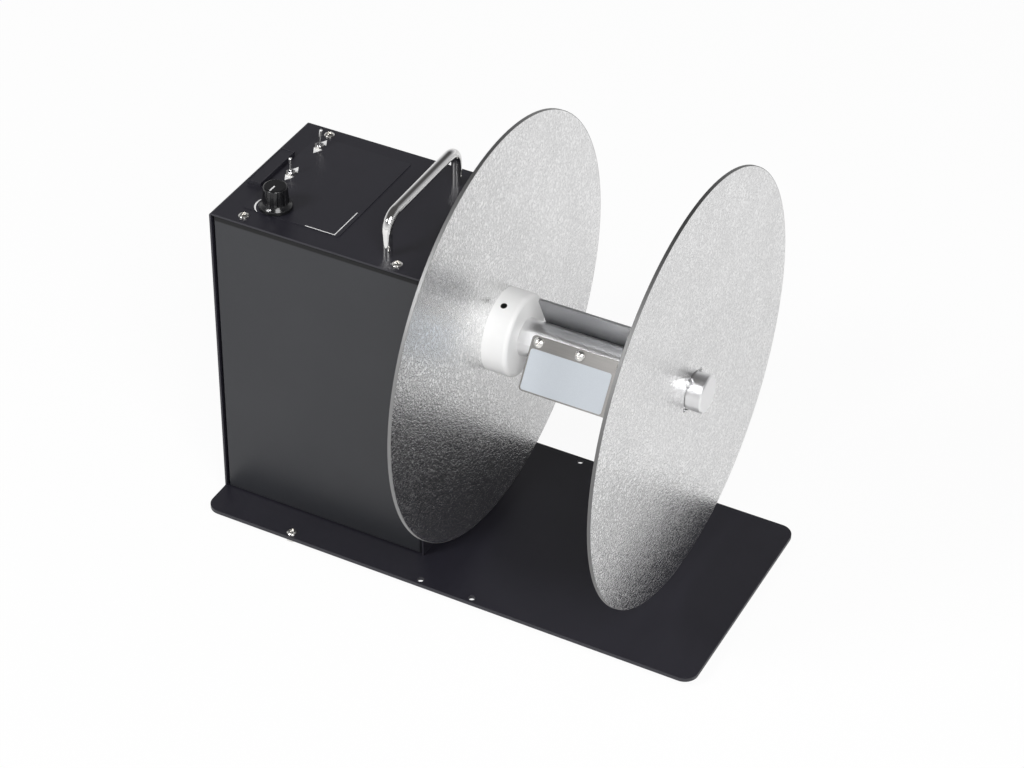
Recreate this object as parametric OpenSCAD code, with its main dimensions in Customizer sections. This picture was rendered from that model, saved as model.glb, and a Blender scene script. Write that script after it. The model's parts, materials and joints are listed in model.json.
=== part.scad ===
// Motor-driven label rewinder: a sheet-metal drive housing on a base plate, and a spindle
// with a core holder between two large flanges, the outer one of which slides off.
// X runs along the spindle towards its free end, Y from front to back, Z up.
// The origin is on the floor, under the middle of the base plate, in the spindle's plane.

/* [Base plate] */
// Length of the base plate, along the spindle
base_l = 410; // [380:1:460]
// Depth of the base plate, front to back
base_d = 191; // [175:1:240]
// Thickness of the base plate
base_t = 3.2; // [2:0.1:6]
// Radius of the base plate's corners
base_r = 11; // [3:1:25]
// Diameter of a rubber foot
foot_d = 20; // [12:1:26]
// Height of the rubber feet
foot_h = 5.8; // [5.5:0.1:15]
// From the base plate's edges to the centre of a foot
foot_inset = 20; // [14:1:30]
// Diameter of the holes along the base plate's long edges
edge_hole_d = 5.2; // [4.8:0.1:6]
// From a long edge to its row of holes
edge_row = 5; // [5:0.5:10]
// From the left edge to the screw in each row
edge_screw_x = 74.5; // [50:0.5:110]
// From the left edge to the first accessory hole of a row
accessory_x = 185.9; // [150:0.1:220]
// Between the two accessory holes of a row
accessory_pitch = 43.1; // [25:0.1:60]

/* [Drive housing] */
// Width of the housing, along the spindle
box_w = 174.9; // [160:0.1:200]
// Depth of the housing, front to back
box_d = 138; // [130:1:160]
// From the spindle up to the housing's top
axis_to_top = 74.4; // [70:0.1:95]
// From the spindle's plane back to the middle of the housing
box_shift = 2.75; // [-3:0.05:4]
// From the base plate's left edge to the housing
box_inset = 0.1; // [0:0.1:6]
// Thickness of the housing's sheet metal
sheet_t = 1.6; // [1:0.1:1.8]
// Outside radius of the folds in the sheet metal
bend_r = 2; // [1.9:0.1:6]
// Gap beside the end panels, inside the cover's walls
panel_gap = 1.3; // [0.3:0.1:3]
// Set-back of the end panels from the cover's edges
panel_recess = 0.8; // [0:0.1:4]
// Width of the end panels' folded edges
panel_fold = 14; // [13:0.5:16]
// From the cover's side edges to a top screw
cover_screw_x = 24.4; // [15:0.1:26]
// From the cover's front and back edges to a top screw
cover_screw_y = 8.2; // [7.5:0.1:12]
// From the middle of an end panel to its floor screws
panel_screw_x = 40; // [20:1:60]

/* [Carrying handle] */
// Diameter of the handle's rod
handle_d = 8; // [6:0.5:12]
// Between the centres of the handle's feet
handle_span = 102.6; // [85:0.1:110]
// From the housing's top to the centre of the grip
handle_h = 31; // [28:0.5:50]
// Radius of the handle's bends, at the rod's centre
handle_bend = 12; // [7:0.5:16]
// From the housing's right side to the handle
handle_x = 36.4; // [32:0.1:59]
// From the housing's front to the handle's front foot
handle_y = 15.7; // [10:0.1:20]

/* [Controls] */
// From the housing's left side to the torque knob
knob_x = 39; // [34:0.1:60]
// From the housing's front to the torque knob
knob_y = 28.8; // [28:0.1:40]
// Diameter of the knob's skirt
knob_skirt_d = 25; // [22:0.1:28]
// Diameter of the knob's grip
knob_grip_d = 19.2; // [18:0.1:20]
// Height of the knob
knob_h = 18; // [14:0.1:22]
// Diameter of the potentiometer's shaft
pot_shaft_d = 6.35; // [6:0.05:6.5]
// From the housing's left side to the two switches
switch_x = 26.3; // [25:0.1:40]
// From the housing's front to the direction switch
direction_y = 70.6; // [62:0.1:80]
// Between the two switches
switch_pitch = 41.2; // [25:0.1:46]
// Swing of a switch lever to each side
lever_tilt = 13; // [8:1:15]
// Length of a switch lever above its bush
lever_l = 11.7; // [7:0.1:14]
// From the housing's left side to the control overlay
overlay_x = 17.4; // [17:0.1:20]
// From the housing's front to the control overlay
overlay_y = 17.8; // [16:0.1:20]
// Width of the control overlay
overlay_w = 80; // [70:0.5:100]
// Depth of the control overlay
overlay_d = 107; // [95:0.5:107.5]
// Thickness of the control overlay
overlay_t = 0.4; // [0.2:0.1:1]
// Length of the bare name plate
plate_l = 48.5; // [30:0.5:70]
// Width of the bare name plate
plate_w = 11.4; // [6:0.1:12]
// Height of the bare name plate
plate_h = 3; // [1.6:0.1:4]

/* [Spindle] */
// Diameter of the spindle shaft
shaft_d = 28.6; // [26:0.1:30]
// From the outer flange to the shaft's free end
shaft_proud = 12; // [8:0.5:30]
// Depth of the flats under the core fins
flat_depth = 0.8; // [0.4:0.1:1.5]
// Diameter of the ball that keys the outer flange
lock_ball_d = 7; // [5:0.5:8]

/* [Flanges] */
// Diameter of the flanges
flange_d = 328; // [280:1:360]
// Thickness of the flanges
flange_t = 2.6; // [2:0.1:4]
// From the housing to the inner flange
flange_standoff = 26.3; // [12:0.1:40]
// Width between the flanges
flange_gap = 150; // [130:0.1:165]
// From the base plate up to the flanges
flange_clear = 16; // [8:0.5:40]
// Radial gap between the outer flange and the shaft
flange_slack = 0.4; // [0.2:0.05:0.8]
// Diameter of the white collar
collar_d = 63.5; // [60:0.5:80]
// Width of the white collar
collar_w = 20; // [18:0.1:30]
// Rounding of the collar's front edge
collar_round = 3.5; // [1:0.5:6]

/* [Core holder] */
// Thickness of a core fin
fin_t = 1.6; // [1:0.1:2.5]
// Width of a core fin, from the screw line to its free edge
fin_reach = 37; // [28:0.1:40]
// Width of a core fin on the other side of its screw line
fin_heel = 4.6; // [4:0.1:9]
// Radius of the fins' corners
fin_round = 3; // [1:0.5:5]
// From the collar to the fins
fin_start = 10.8; // [4:0.1:20]
// From the fins to the outer flange
fin_end_gap = 9; // [3:0.1:15]
// Screws in a fin
fin_screws_n = 4; // [3:1:5]
// From a fin's ends to its first and last screw
fin_screw_inset = 6; // [5:0.5:10]

/* [Drive] */
// Module of the drive gears
gear_module = 1.75; // [1.65:0.05:1.8]
// Teeth of the spindle gear
gear_teeth = 64; // [60:4:68]
// Teeth of the motor pinion
pinion_teeth = 20; // [20:5:25]
// Face width of the gears
gear_w = 10; // [6:0.5:11]
// Play between the gears' teeth
backlash = 0.3; // [0.2:0.05:0.5]
// From the left wall to the spindle gear
gear_wall_gap = 7; // [6.5:0.1:8]
// Diameter of the motor's gearbox
gearbox_d = 62; // [56:1:64]
// Length of the motor's gearbox
gearbox_l = 38; // [30:1:45]
// Diameter of the motor
motor_d = 56; // [45:1:60]
// Length of the motor
motor_l = 66; // [50:1:70]
// Diameter of the motor's output shaft
motor_shaft_d = 10; // [8:0.5:12]
// Thickness of the bearing frame's plates
frame_t = 5; // [4:0.5:6]
// Depth of the bearing frame, front to back
frame_d = 84; // [80:1:90]
// Outside diameter of the bearings
bearing_od = 54; // [52:0.5:56]
// Width of the bearings
bearing_w = 12.7; // [11:0.1:14]
// Diameter of the bearings' balls
bearing_ball_d = 8; // [7:0.5:8.5]
// Outside diameter of the bearing housings
housing_d = 74; // [72:0.5:76]

/* [Electronics] */
// Length of the circuit board, along the spindle
board_l = 96; // [70:1:100]
// Depth of the circuit board
board_d = 68; // [50:1:76]
// Height of the stand-offs under the circuit board
standoff_h = 8; // [5:0.5:12]
// Height of the power inlet above the base plate
inlet_h = 45; // [25:1:90]
// Diameter of the power inlet's bush
inlet_d = 11; // [9:0.5:14]

/* [Hidden] */
$fn = 96;
eps = 0.01;
over = 1;
// Gaps of fits: pressed or screwed together, running, and loose holes for screws
press_gap = 0.02;
run_gap = 0.06;
screw_gap = 0.2;
// Standard screws: shank, head and nut
screw_d = 4.2;
screw_head_d = 7.8;
screw_head_h = 2.6;
screw_drive_depth = 1.3;
screw_drive_w = 0.9;
nut_across = 8;
nut_h = 2.4;
// Heights of the main planes
plate_z = foot_h;
floor_z = foot_h + base_t;
axis_h = flange_d / 2 + flange_clear;
axis_z = floor_z + axis_h;
box_h = axis_h + axis_to_top;
top_z = floor_z + box_h;
panel_h = box_h - sheet_t;
// Sides of the housing
left = -base_l / 2;
box_x0 = left + box_inset;
box_x1 = box_x0 + box_w;
box_mid = box_x0 + box_w / 2;
box_y0 = box_shift - box_d / 2;
box_y1 = box_shift + box_d / 2;
panel_w = box_w - 2 * (sheet_t + panel_gap);
// Places along the spindle
gear_x0 = box_x0 + sheet_t + gear_wall_gap;
gear_x1 = gear_x0 + gear_w;
frame_wall_gap = 8;
gear_frame_gap = 4;
frame_left0 = gear_x1 + gear_frame_gap;
frame_left1 = frame_left0 + frame_t;
frame_right1 = box_x1 - sheet_t - frame_wall_gap;
frame_right0 = frame_right1 - frame_t;
inner_flange_x0 = box_x1 + flange_standoff;
inner_flange_x1 = inner_flange_x0 + flange_t;
collar_x1 = inner_flange_x1 + collar_w;
outer_flange_x0 = inner_flange_x1 + flange_gap;
outer_flange_x1 = outer_flange_x0 + flange_t;
shaft_setback = 0.3;
shaft_x0 = gear_x0 + shaft_setback;
shaft_x1 = outer_flange_x1 + shaft_proud;
shaft_r = shaft_d / 2;
shaft_chamfer = 1;
// Core fins: a pinwheel of flat plates around the shaft
fin_turns = [146, 266, 26];
fin_x0 = collar_x1 + fin_start;
fin_l = outer_flange_x0 - fin_end_gap - fin_x0;
flat_r = shaft_r - flat_depth;
fin_r1 = flat_r + fin_t;
fin_screw_pitch = (fin_l - 2 * fin_screw_inset) / (fin_screws_n - 1);
fin_screw_xs = [for (i = [0 : fin_screws_n - 1]) fin_x0 + fin_screw_inset + i * fin_screw_pitch];
fin_screw_depth = 8;
flat_x0 = collar_x1 - 2;
flat_x1 = fin_x0 + fin_l + 2;
// Collar fastenings
collar_set_turn = 110;
collar_set_x = inner_flange_x1 + collar_w * 0.36;
collar_set_d = 5;
collar_set_l = 9;
flange_screw_r = (collar_d + shaft_d) / 4 + 1;
flange_screw_l = 10;
// Ball that keys the outer flange: it sinks into a sleeve in the shaft
lock_turn = 126;
lock_x = (outer_flange_x0 + outer_flange_x1) / 2;
lock_ball_r = shaft_r - lock_ball_d * 0.1;
lock_travel = 2.2;
plunger_wall = 1.2;
plunger_d = lock_ball_d + 2 * (run_gap + plunger_wall);
plunger_r1 = shaft_r - 0.9;
plunger_r0 = lock_ball_r - lock_ball_d / 2 - lock_travel - 1.5;
lock_notches = 4;
// Gears
pressure_angle = 20;
gear_distance = gear_module * (gear_teeth + pinion_teeth) / 2;
motor_z = axis_z - gear_distance;
key_w = 8;
key_h = 7;
key_in_shaft = 4;
end_screw_d = 8;
end_screw_l = 16;
end_washer_d = 36;
end_washer_t = 1.5;
end_head_across = 13;
end_head_h = 3.6;
// Bearings
race_gap = 0.1;
bearing_balls_n = 10;
ring_t = (bearing_od - shaft_d) / 2 * 0.28;
inner_ring_r = shaft_r + ring_t;
outer_ring_r = bearing_od / 2 - ring_t;
ball_circle_r = (inner_ring_r + outer_ring_r) / 2;
cage_t = 2.6;
cage_w = bearing_ball_d + 2.4;
housing_lip = 3;
housing_lip_d = 2 * outer_ring_r - 2;
frame_bore_d = (inner_ring_r + outer_ring_r);
housing_bolt_r = (bearing_od + housing_d) / 4;
housing_bolt_d = 4;
circlip_t = 1.5;
circlip_depth = 1.2;
circlip_w = 4;
circlip_gap = 50;
// Motor fastenings
pilot_d = 25;
pilot_h = 3;
motor_bolt_r = 21;
motor_bolt_d = 4;
motor_bolt_head_d = 7;
motor_bolt_head_h = 2.4;
motor_bolt_depth = 10;
motor_cap_l = 8;
motor_boss_l = 3;
motor_boss_d = 18;
motor_shaft_depth = 12;
// Bearing frame fastenings
frame_screw_x = 12;
frame_screw_y = 12;
// Handle
handle_mid = box_x1 - handle_x;
handle_y0 = box_y0 + handle_y;
handle_y1 = handle_y0 + handle_span;
handle_screw_depth = 12;
// Controls on the housing's top
knob_pos = [box_x0 + knob_x, box_y0 + knob_y];
direction_pos = [box_x0 + switch_x, box_y0 + direction_y];
torque_pos = direction_pos + [0, switch_pitch];
panel_z = top_z + overlay_t;
knob_z = panel_z + 0.6;
knob_cap = 3;
knob_flutes = 12;
knob_cavity_d = knob_grip_d - 3;
knob_cavity_h = 4.2;
knob_set_d = 3;
knob_set_z = (knob_cavity_h + knob_h - knob_cap) / 2;
pot_d = 20;
pot_h = 11;
pot_bush_d = 9.5;
pot_lug = [1.8, 9, 0.8];
pot_lug_in = 2;
pot_lug_z = 2;
pot_bush_h = 4;
pot_nut_across = 12;
bush_d = 4.8;
bush_bore = 3.5;
bush_h = 2.9;
switch_nut_across = 6.4;
switch_w = 7;
switch_l = 13;
switch_h = 10;
switch_lug = [0.8, 2, 5];
lever_drop = 2.4;
pivot_z = panel_z + bush_h - lever_drop;
lever_ball_d = 2.9;
lever_pin_d = 1.2;
lever_pin_l = bush_bore - 2 * race_gap;
lever_d = 1.7;
lever_tip_d = 2.6;
plate_x = box_x0 + 3.9;
plate_y = box_y0 + direction_y - plate_l / 2;
// Electronics
board_t = 1.6;
board_x = (frame_left1 + frame_right0) / 2;
board_z = floor_z + frame_t + standoff_h;
board_hole_inset = 5;
standoff_d = 6;
standoff_thread_d = 3;
board_top = board_z + board_t;
sink_l = 30;
sink_d = 8;
sink_h = 22;
sink_plate = 2;
sink_fin_t = 1.5;
sink_fins = 5;
capacitor_d = 12.5;
capacitor_h = 22;
capacitor_pitch = 16;
chip_l = 18;
chip_d = 8;
chip_h = 4;
terminal_x = board_x + 26;
terminal_l = 9;
terminal_d = 28;
terminal_h = 10;
header_x = board_x + 1;
header_l = 20;
header_d = 6;
header_h = 7;
// Wires: pairs to the terminal block, and one cable from each control to the header
wire_d = 1.8;
wire_bend = 8;
wire_pitch = 4;
cable_d = 3;
cable_pitch = 7;
inlet_x = box_mid;
inlet_inside = 12;
inlet_z = floor_z + inlet_h;
inlet_pin_d = 2.1;
inlet_bore_d = 5.7;
rear_face = box_y1 - panel_recess;

steel = "#b9bcc0";
bright = "#d8dade";
black = "#1b1c1f";
zinc = "#c6c4b8";

// Shared shapes

// Puts children, drawn across the spindle with x to the back and y up, at a place along it
module along_x(x, z = axis_z) {
    translate([x, 0, z]) rotate([90, 0, 90]) children();
}

// Puts children on a radius around the spindle, at an angle from the back over the top
module around(turn) {
    rotate([0, 0, turn]) children();
}

module rounded_rect(w, d, r) {
    square([w - 2 * r, d], center = true);
    square([w, d - 2 * r], center = true);
    for (x = [-1, 1], y = [-1, 1])
        translate([x * (w / 2 - r), y * (d / 2 - r)]) circle(r);
}

// A rectangle whose two corners at y = 0 are folds
module folded_outline(w, d, r) {
    translate([0, r]) square([w, d - r]);
    translate([r, 0]) square([w - 2 * r, d]);
    for (x = [r, w - r])
        translate([x, r]) circle(r);
}

module hexagon(across) {
    circle(d = across / cos(30), $fn = 6);
}

// Pan head screw: its head stands on z = 0 and its shank points down
module pan_screw(d, head_d, head_h, l) {
    rim = head_h * 0.35;
    dome = head_h - rim;
    dome_r = (head_d * head_d / 4 + dome * dome) / (2 * dome);
    difference() {
        intersection() {
            cylinder(d = head_d, h = head_h);
            translate([0, 0, head_h - dome_r]) sphere(dome_r);
        }
        for (turn = [0, 90])
            rotate([0, 0, turn])
                translate([0, 0, head_h - screw_drive_depth / 2 + over / 2])
                    cube([head_d * 0.55, screw_drive_w, screw_drive_depth + over], center = true);
    }
    translate([0, 0, -l]) cylinder(d = d, h = l + eps);
}

// Cap screw with a hexagon socket: its head stands on z = 0 and its shank points down
module cap_screw(d, l) {
    difference() {
        cylinder(d = d * 1.65, h = d);
        translate([0, 0, d * 0.45]) linear_extrude(d) hexagon(d * 0.8);
    }
    translate([0, 0, -l]) cylinder(d = d, h = l + eps);
}

module hex_nut(across, bore, h) {
    linear_extrude(h) difference() {
        hexagon(across);
        circle(d = bore);
    }
}

// Involute gear outline, with a tooth pointing along +x
function involute(a) = tan(a) * 180 / PI - a;
function tooth_half(r, rp, rb, n) =
    90 / n - backlash / (4 * rp) * 180 / PI + involute(pressure_angle)
    - (r > rb ? involute(acos(rb / r)) : 0);
function polar(r, a) = [r * cos(a), r * sin(a)];
module gear_outline(n) {
    rp = gear_module * n / 2;
    rb = rp * cos(pressure_angle);
    root = rp - 1.25 * gear_module;
    tip = rp + 0.95 * gear_module;
    foot = max(rb, root);
    rs = concat(root < rb ? [root] : [], [for (i = [0 : 3]) foot + (tip - foot) * i / 3]);
    polygon([for (i = [0 : n - 1]) let (mid = i * 360 / n) each concat(
        [for (r = rs) polar(r, mid - tooth_half(r, rp, rb, n))],
        [for (k = [len(rs) - 1 : -1 : 0]) polar(rs[k], mid + tooth_half(rs[k], rp, rb, n))]
    )]);
}

// Base plate

function edge_rows() = [-base_d / 2 + edge_row, base_d / 2 - edge_row];
function panel_screw_places() = [
    for (x = [-panel_screw_x, panel_screw_x], y = [box_y0 + cover_screw_y, box_y1 - cover_screw_y])
        [box_mid + x, y]
];
function frame_screw_places() = [
    for (x = [frame_left0 + frame_screw_x, frame_right1 - frame_screw_x], y = [-1, 1])
        [x, y * (frame_d / 2 - frame_screw_y)]
];

module base_plate() {
    edge_xs = [edge_screw_x, accessory_x, accessory_x + accessory_pitch];
    color(black) translate([0, 0, plate_z]) linear_extrude(base_t) difference() {
        rounded_rect(base_l, base_d, base_r);
        for (x = edge_xs, y = edge_rows())
            translate([left + x, y]) circle(d = edge_hole_d);
        for (p = concat(panel_screw_places(), frame_screw_places()))
            translate(p) circle(d = screw_d + 2 * screw_gap);
    }
}

module rubber_feet() {
    tread = foot_d * 0.85;
    color("#26262a")
        for (x = [-1, 1], y = [-1, 1])
            translate([x * (base_l / 2 - foot_inset), y * (base_d / 2 - foot_inset), 0])
                rotate_extrude() polygon([
                    [0, 0], [tread / 2 - 0.8, 0], [tread / 2, 0.8],
                    [foot_d / 2, foot_h], [0, foot_h]
                ]);
}

module edge_screws() {
    color(bright)
        for (y = edge_rows())
            translate([left + edge_screw_x, y, floor_z])
                pan_screw(screw_d, screw_head_d, screw_head_h, base_t + nut_h + over);
}

module edge_nuts() {
    color(zinc)
        for (y = edge_rows())
            translate([left + edge_screw_x, y, plate_z - nut_h])
                hex_nut(nut_across, screw_d + 2 * press_gap, nut_h);
}

// Drive housing

module cover_outline() {
    translate([0, box_h]) mirror([0, 1]) difference() {
        folded_outline(box_w, box_h, bend_r);
        translate([sheet_t, sheet_t])
            folded_outline(box_w - 2 * sheet_t, box_h, bend_r - sheet_t);
    }
}

function cover_screw_places() = [
    for (x = [box_x0 + cover_screw_x, box_x1 - cover_screw_x],
         y = [box_y0 + cover_screw_y, box_y1 - cover_screw_y]) [x, y]
];

module housing_cover() {
    color(black) difference() {
        translate([box_x0, box_y1, floor_z]) rotate([90, 0, 0]) linear_extrude(box_d) cover_outline();
        translate([0, 0, top_z - sheet_t - over]) linear_extrude(sheet_t + 2 * over) {
            for (p = cover_screw_places())
                translate(p) circle(d = screw_d + 2 * screw_gap);
            for (y = [handle_y0, handle_y1])
                translate([handle_mid, y]) circle(d = screw_d + 2 * screw_gap);
            translate(knob_pos) circle(d = pot_bush_d + 2 * screw_gap);
            for (p = [direction_pos, torque_pos])
                translate(p) circle(d = bush_d + 2 * screw_gap);
        }
        along_x(box_x1 - sheet_t - over) cylinder(d = frame_bore_d, h = sheet_t + 2 * over);
    }
}

// A block with folds at its front's four edges, open at the back once hollowed
module pan_block(w, h, d, r) {
    intersection() {
        linear_extrude(h) folded_outline(w, d, r);
        rotate([90, 0, 90]) linear_extrude(w) mirror([1, -1]) folded_outline(h, d, r);
    }
}

module end_panel() {
    hole_d = screw_d + 2 * press_gap;
    difference() {
        translate([box_x0 + sheet_t + panel_gap, box_y0 + panel_recess, floor_z]) difference() {
            pan_block(panel_w, panel_h, panel_fold, bend_r);
            translate([sheet_t, sheet_t, sheet_t])
                pan_block(panel_w - 2 * sheet_t, panel_h - 2 * sheet_t, panel_fold, bend_r - sheet_t);
        }
        for (side = [-1, 1])
            translate([box_mid, box_y0 + cover_screw_y, 0]) {
                translate([side * panel_screw_x, 0, floor_z - over])
                    cylinder(d = hole_d, h = sheet_t + 2 * over);
                translate([side * (box_w / 2 - cover_screw_x), 0, top_z - 2 * sheet_t - over])
                    cylinder(d = hole_d, h = sheet_t + 2 * over);
            }
    }
}

// Room for the heads of the handle's screws in the panels' top folds
module handle_screw_room() {
    for (y = [handle_y0, handle_y1])
        translate([handle_mid, y, top_z - 2 * sheet_t - over])
            cylinder(d = screw_head_d + 2, h = sheet_t + 2 * over);
}

module front_panel() {
    color("#232427") difference() {
        end_panel();
        handle_screw_room();
    }
}

module rear_panel() {
    color("#232427") difference() {
        translate([0, 2 * box_shift, 0]) mirror([0, 1, 0]) end_panel();
        handle_screw_room();
        translate([inlet_x, rear_face + over, inlet_z]) rotate([90, 0, 0])
            cylinder(d = inlet_d + 2 * press_gap, h = sheet_t + 2 * over);
    }
}

module cover_screws() {
    color(bright)
        for (p = cover_screw_places())
            translate([p.x, p.y, top_z])
                pan_screw(screw_d, screw_head_d, screw_head_h, 2 * sheet_t + 4);
}

module panel_screws() {
    color(zinc)
        for (p = panel_screw_places())
            translate([p.x, p.y, plate_z]) mirror([0, 0, 1])
                pan_screw(screw_d, screw_head_d, screw_head_h, base_t + sheet_t + 3);
}

// A quarter bend of the handle's rod in the plane of its legs, from an angle up from the back
module handle_corner(turn) {
    rotate([90, 0, 90]) rotate([0, 0, turn])
        rotate_extrude(angle = 90) translate([handle_bend, 0]) circle(d = handle_d);
}

module carry_handle() {
    leg = handle_h - handle_bend;
    color("#e4e6ea") translate([handle_mid, 0, top_z]) difference() {
        union() {
            for (y = [handle_y0, handle_y1])
                translate([0, y, 0]) cylinder(d = handle_d, h = leg);
            translate([0, handle_y0 + handle_bend, handle_h]) rotate([-90, 0, 0])
                cylinder(d = handle_d, h = handle_span - 2 * handle_bend);
            translate([0, handle_y0 + handle_bend, leg]) handle_corner(90);
            translate([0, handle_y1 - handle_bend, leg]) handle_corner(0);
        }
        for (y = [handle_y0, handle_y1])
            translate([0, y, -over])
                cylinder(d = screw_d + 2 * press_gap, h = handle_screw_depth + over);
    }
}

module handle_screws() {
    color(zinc)
        for (y = [handle_y0, handle_y1])
            translate([handle_mid, y, top_z - sheet_t]) mirror([0, 0, 1])
                pan_screw(screw_d, screw_head_d, screw_head_h, sheet_t + handle_screw_depth - over);
}

module control_overlay() {
    color("#17181a") translate([0, 0, top_z]) linear_extrude(overlay_t) difference() {
        translate([box_x0 + overlay_x + overlay_w / 2, box_y0 + overlay_y + overlay_d / 2])
            rounded_rect(overlay_w, overlay_d, bend_r);
        translate(knob_pos) circle(d = pot_bush_d + 2 * screw_gap);
        for (p = [direction_pos, torque_pos])
            translate(p) circle(d = bush_d + 2 * screw_gap);
    }
}

module name_plate() {
    rim = 0.8;
    color("#141416") translate([plate_x, plate_y, top_z]) difference() {
        cube([plate_w, plate_l, plate_h]);
        translate([rim, rim, plate_h - rim / 2])
            cube([plate_w - 2 * rim, plate_l - 2 * rim, rim]);
    }
}

// Bearing frame and bearings

module frame_upright() {
    translate([-frame_d / 2, -axis_h]) square([frame_d, axis_h]);
    circle(d = frame_d);
}

module bolt_ring(n, r, d, turn) {
    for (i = [0 : n - 1])
        rotate([0, 0, turn + i * 360 / n]) translate([r, 0]) circle(d = d);
}

module bearing_frame() {
    color("#8f9499") difference() {
        union() {
            for (x = [frame_left0, frame_right0])
                along_x(x) linear_extrude(frame_t) difference() {
                    frame_upright();
                    circle(d = frame_bore_d);
                    bolt_ring(4, housing_bolt_r, housing_bolt_d + 2 * press_gap, 45);
                }
            translate([frame_left0, -frame_d / 2, floor_z])
                cube([frame_right1 - frame_left0, frame_d, frame_t]);
        }
        along_x(frame_left0 - over, motor_z) linear_extrude(frame_t + 2 * over) {
            circle(d = pilot_d + 2 * screw_gap);
            bolt_ring(4, motor_bolt_r, motor_bolt_d + 2 * screw_gap, 45);
        }
        for (p = frame_screw_places())
            translate([p.x, p.y, floor_z - over])
                cylinder(d = screw_d + 2 * press_gap, h = frame_t + 2 * over);
        for (p = board_hole_places())
            translate([p.x, p.y, floor_z - over])
                cylinder(d = standoff_thread_d, h = frame_t + 2 * over);
    }
}

module frame_screws() {
    color(zinc)
        for (p = frame_screw_places())
            translate([p.x, p.y, plate_z]) mirror([0, 0, 1])
                pan_screw(screw_d, screw_head_d, screw_head_h, base_t + frame_t);
}

// Cartridge that holds one bearing: z = 0 is the face on the frame
module bearing_housing() {
    color("#a3a7ab") difference() {
        cylinder(d = housing_d, h = bearing_w + housing_lip);
        translate([0, 0, -over]) cylinder(d = bearing_od + 2 * press_gap, h = bearing_w + over);
        cylinder(d = housing_lip_d, h = bearing_w + housing_lip + over);
        translate([0, 0, -over]) linear_extrude(bearing_w + housing_lip + 2 * over)
            bolt_ring(4, housing_bolt_r, housing_bolt_d + 2 * press_gap, 45);
    }
}

module on_left_frame() {
    along_x(frame_left1) children();
}

module on_right_frame() {
    along_x(frame_right0) rotate([0, 180, 0]) children();
}

module left_bearing_housing() {
    on_left_frame() bearing_housing();
}

module right_bearing_housing() {
    on_right_frame() bearing_housing();
}

module housing_bolt_set() {
    for (i = [0 : 3])
        rotate([0, 0, 45 + i * 90]) translate([housing_bolt_r, 0, bearing_w + housing_lip])
            cap_screw(housing_bolt_d, bearing_w + housing_lip + frame_t);
}

module housing_bolts() {
    color("#3a3c40") on_left_frame() housing_bolt_set();
    color("#3a3c40") on_right_frame() housing_bolt_set();
}

module race_groove() {
    translate([0, 0, bearing_w / 2]) rotate_extrude()
        translate([ball_circle_r, 0]) circle(d = bearing_ball_d + 2 * race_gap);
}

module outer_ring() {
    difference() {
        cylinder(d = bearing_od, h = bearing_w);
        translate([0, 0, -over]) cylinder(r = outer_ring_r, h = bearing_w + 2 * over);
        race_groove();
    }
}

module inner_ring() {
    difference() {
        cylinder(r = inner_ring_r, h = bearing_w);
        translate([0, 0, -over]) cylinder(d = shaft_d + 2 * press_gap, h = bearing_w + 2 * over);
        race_groove();
    }
}

module ball_set(d) {
    for (i = [0 : bearing_balls_n - 1])
        rotate([0, 0, i * 360 / bearing_balls_n])
            translate([ball_circle_r, 0, bearing_w / 2]) sphere(d = d);
}

module cage() {
    difference() {
        translate([0, 0, (bearing_w - cage_w) / 2]) difference() {
            cylinder(r = ball_circle_r + cage_t / 2, h = cage_w);
            translate([0, 0, -over]) cylinder(r = ball_circle_r - cage_t / 2, h = cage_w + 2 * over);
        }
        for (i = [0 : bearing_balls_n - 1])
            rotate([0, 0, i * 360 / bearing_balls_n]) translate([0, 0, bearing_w / 2]) rotate([0, 90, 0])
                cylinder(d = bearing_ball_d + 2 * race_gap, h = bearing_od);
    }
}

module bearing_outer_rings() {
    color(steel) on_left_frame() outer_ring();
    color(steel) on_right_frame() outer_ring();
}

module bearing_inner_rings() {
    color(steel) on_left_frame() inner_ring();
    color(steel) on_right_frame() inner_ring();
}

module bearing_balls() {
    color(bright) on_left_frame() ball_set(bearing_ball_d);
    color(bright) on_right_frame() ball_set(bearing_ball_d);
}

module bearing_cages() {
    color("#c9a84a") on_left_frame() cage();
    color("#c9a84a") on_right_frame() cage();
}

// Motor and gears

module motor_gearbox() {
    color("#55585c") along_x(frame_left1, motor_z) difference() {
        union() {
            cylinder(d = gearbox_d, h = gearbox_l);
            translate([0, 0, -pilot_h]) cylinder(d = pilot_d, h = pilot_h + over);
        }
        translate([0, 0, -pilot_h - over])
            cylinder(d = motor_shaft_d + 2 * run_gap, h = pilot_h + motor_shaft_depth + over);
        translate([0, 0, -over]) linear_extrude(motor_bolt_depth + 2)
            bolt_ring(4, motor_bolt_r, motor_bolt_d + 2 * press_gap, 45);
    }
}

module drive_motor() {
    cone_l = motor_cap_l - motor_boss_l;
    color("#2a2b2e") along_x(frame_left1 + gearbox_l, motor_z) {
        cylinder(d = motor_d, h = motor_l - motor_cap_l);
        translate([0, 0, motor_l - motor_cap_l]) cylinder(d1 = motor_d - 2, d2 = motor_d - 8, h = cone_l);
        translate([0, 0, motor_l - motor_boss_l - eps]) cylinder(d = motor_boss_d, h = motor_boss_l);
    }
}

module motor_bolts() {
    color("#3a3c40") along_x(frame_left0, motor_z)
        for (i = [0 : 3])
            rotate([0, 0, 45 + i * 90]) translate([motor_bolt_r, 0, 0]) rotate([180, 0, 0])
                pan_screw(motor_bolt_d, motor_bolt_head_d, motor_bolt_head_h, frame_t + motor_bolt_depth);
}

module motor_shaft() {
    color(steel) along_x(gear_x0, motor_z)
        cylinder(d = motor_shaft_d, h = frame_left1 + motor_shaft_depth - over - gear_x0);
}

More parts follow.
